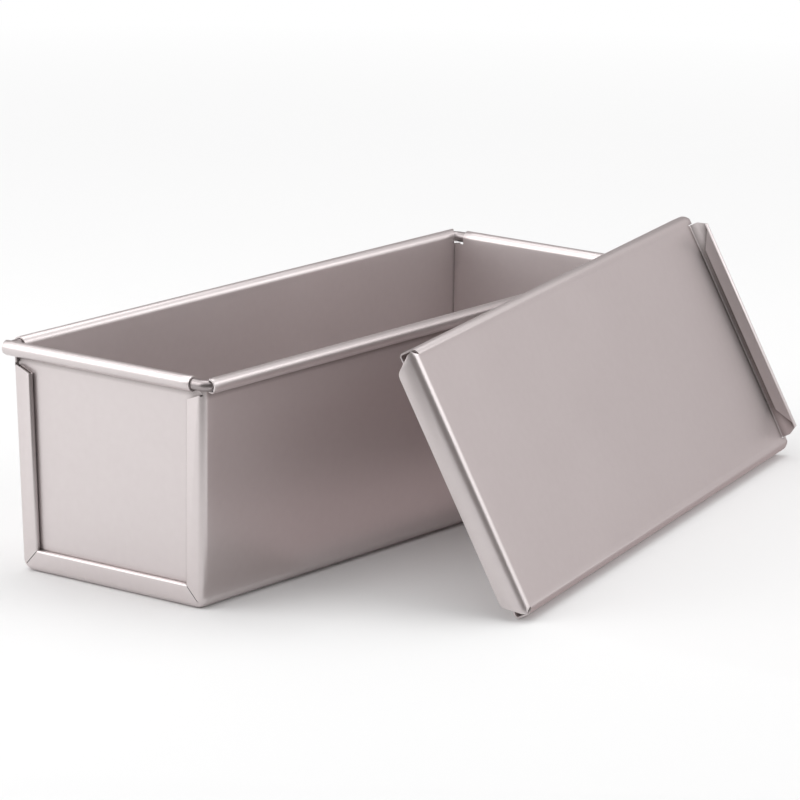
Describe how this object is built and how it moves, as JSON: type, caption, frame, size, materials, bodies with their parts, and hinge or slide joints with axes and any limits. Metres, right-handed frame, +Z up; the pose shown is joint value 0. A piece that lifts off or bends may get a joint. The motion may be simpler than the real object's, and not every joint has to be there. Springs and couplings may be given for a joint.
{
  "type": "loaf pan",
  "caption": "Straight-sided bakery loaf pan folded from coated sheet steel, with a wired rim and a separate slide-on lid that leans on its long side.",
  "frame": {"origin": "middle of the underside of the pan, on the table", "axes": "+Z up, +X along the pan from the near end to the far end, -Y towards the leaning lid"},
  "size_m": [0.4096, 0.2316, 0.1141],
  "materials": {
    "coated_steel": "satin, fine-grained pinkish silver coating",
    "rim_wire": "plated wire, smooth"
  },
  "bodies": {
    "pan": {"body": "coated_steel", "near_end_panel": "coated_steel", "far_end_panel": "coated_steel", "rim_wire": "rim_wire"},
    "lid": {"lid": "coated_steel"}
  },
  "joints": [
    {"name": "lid_lift", "type": "slide", "parent": "pan", "child": "lid", "axis": [0, 0, 1], "range_m": [0, 0.13]}
  ]
}
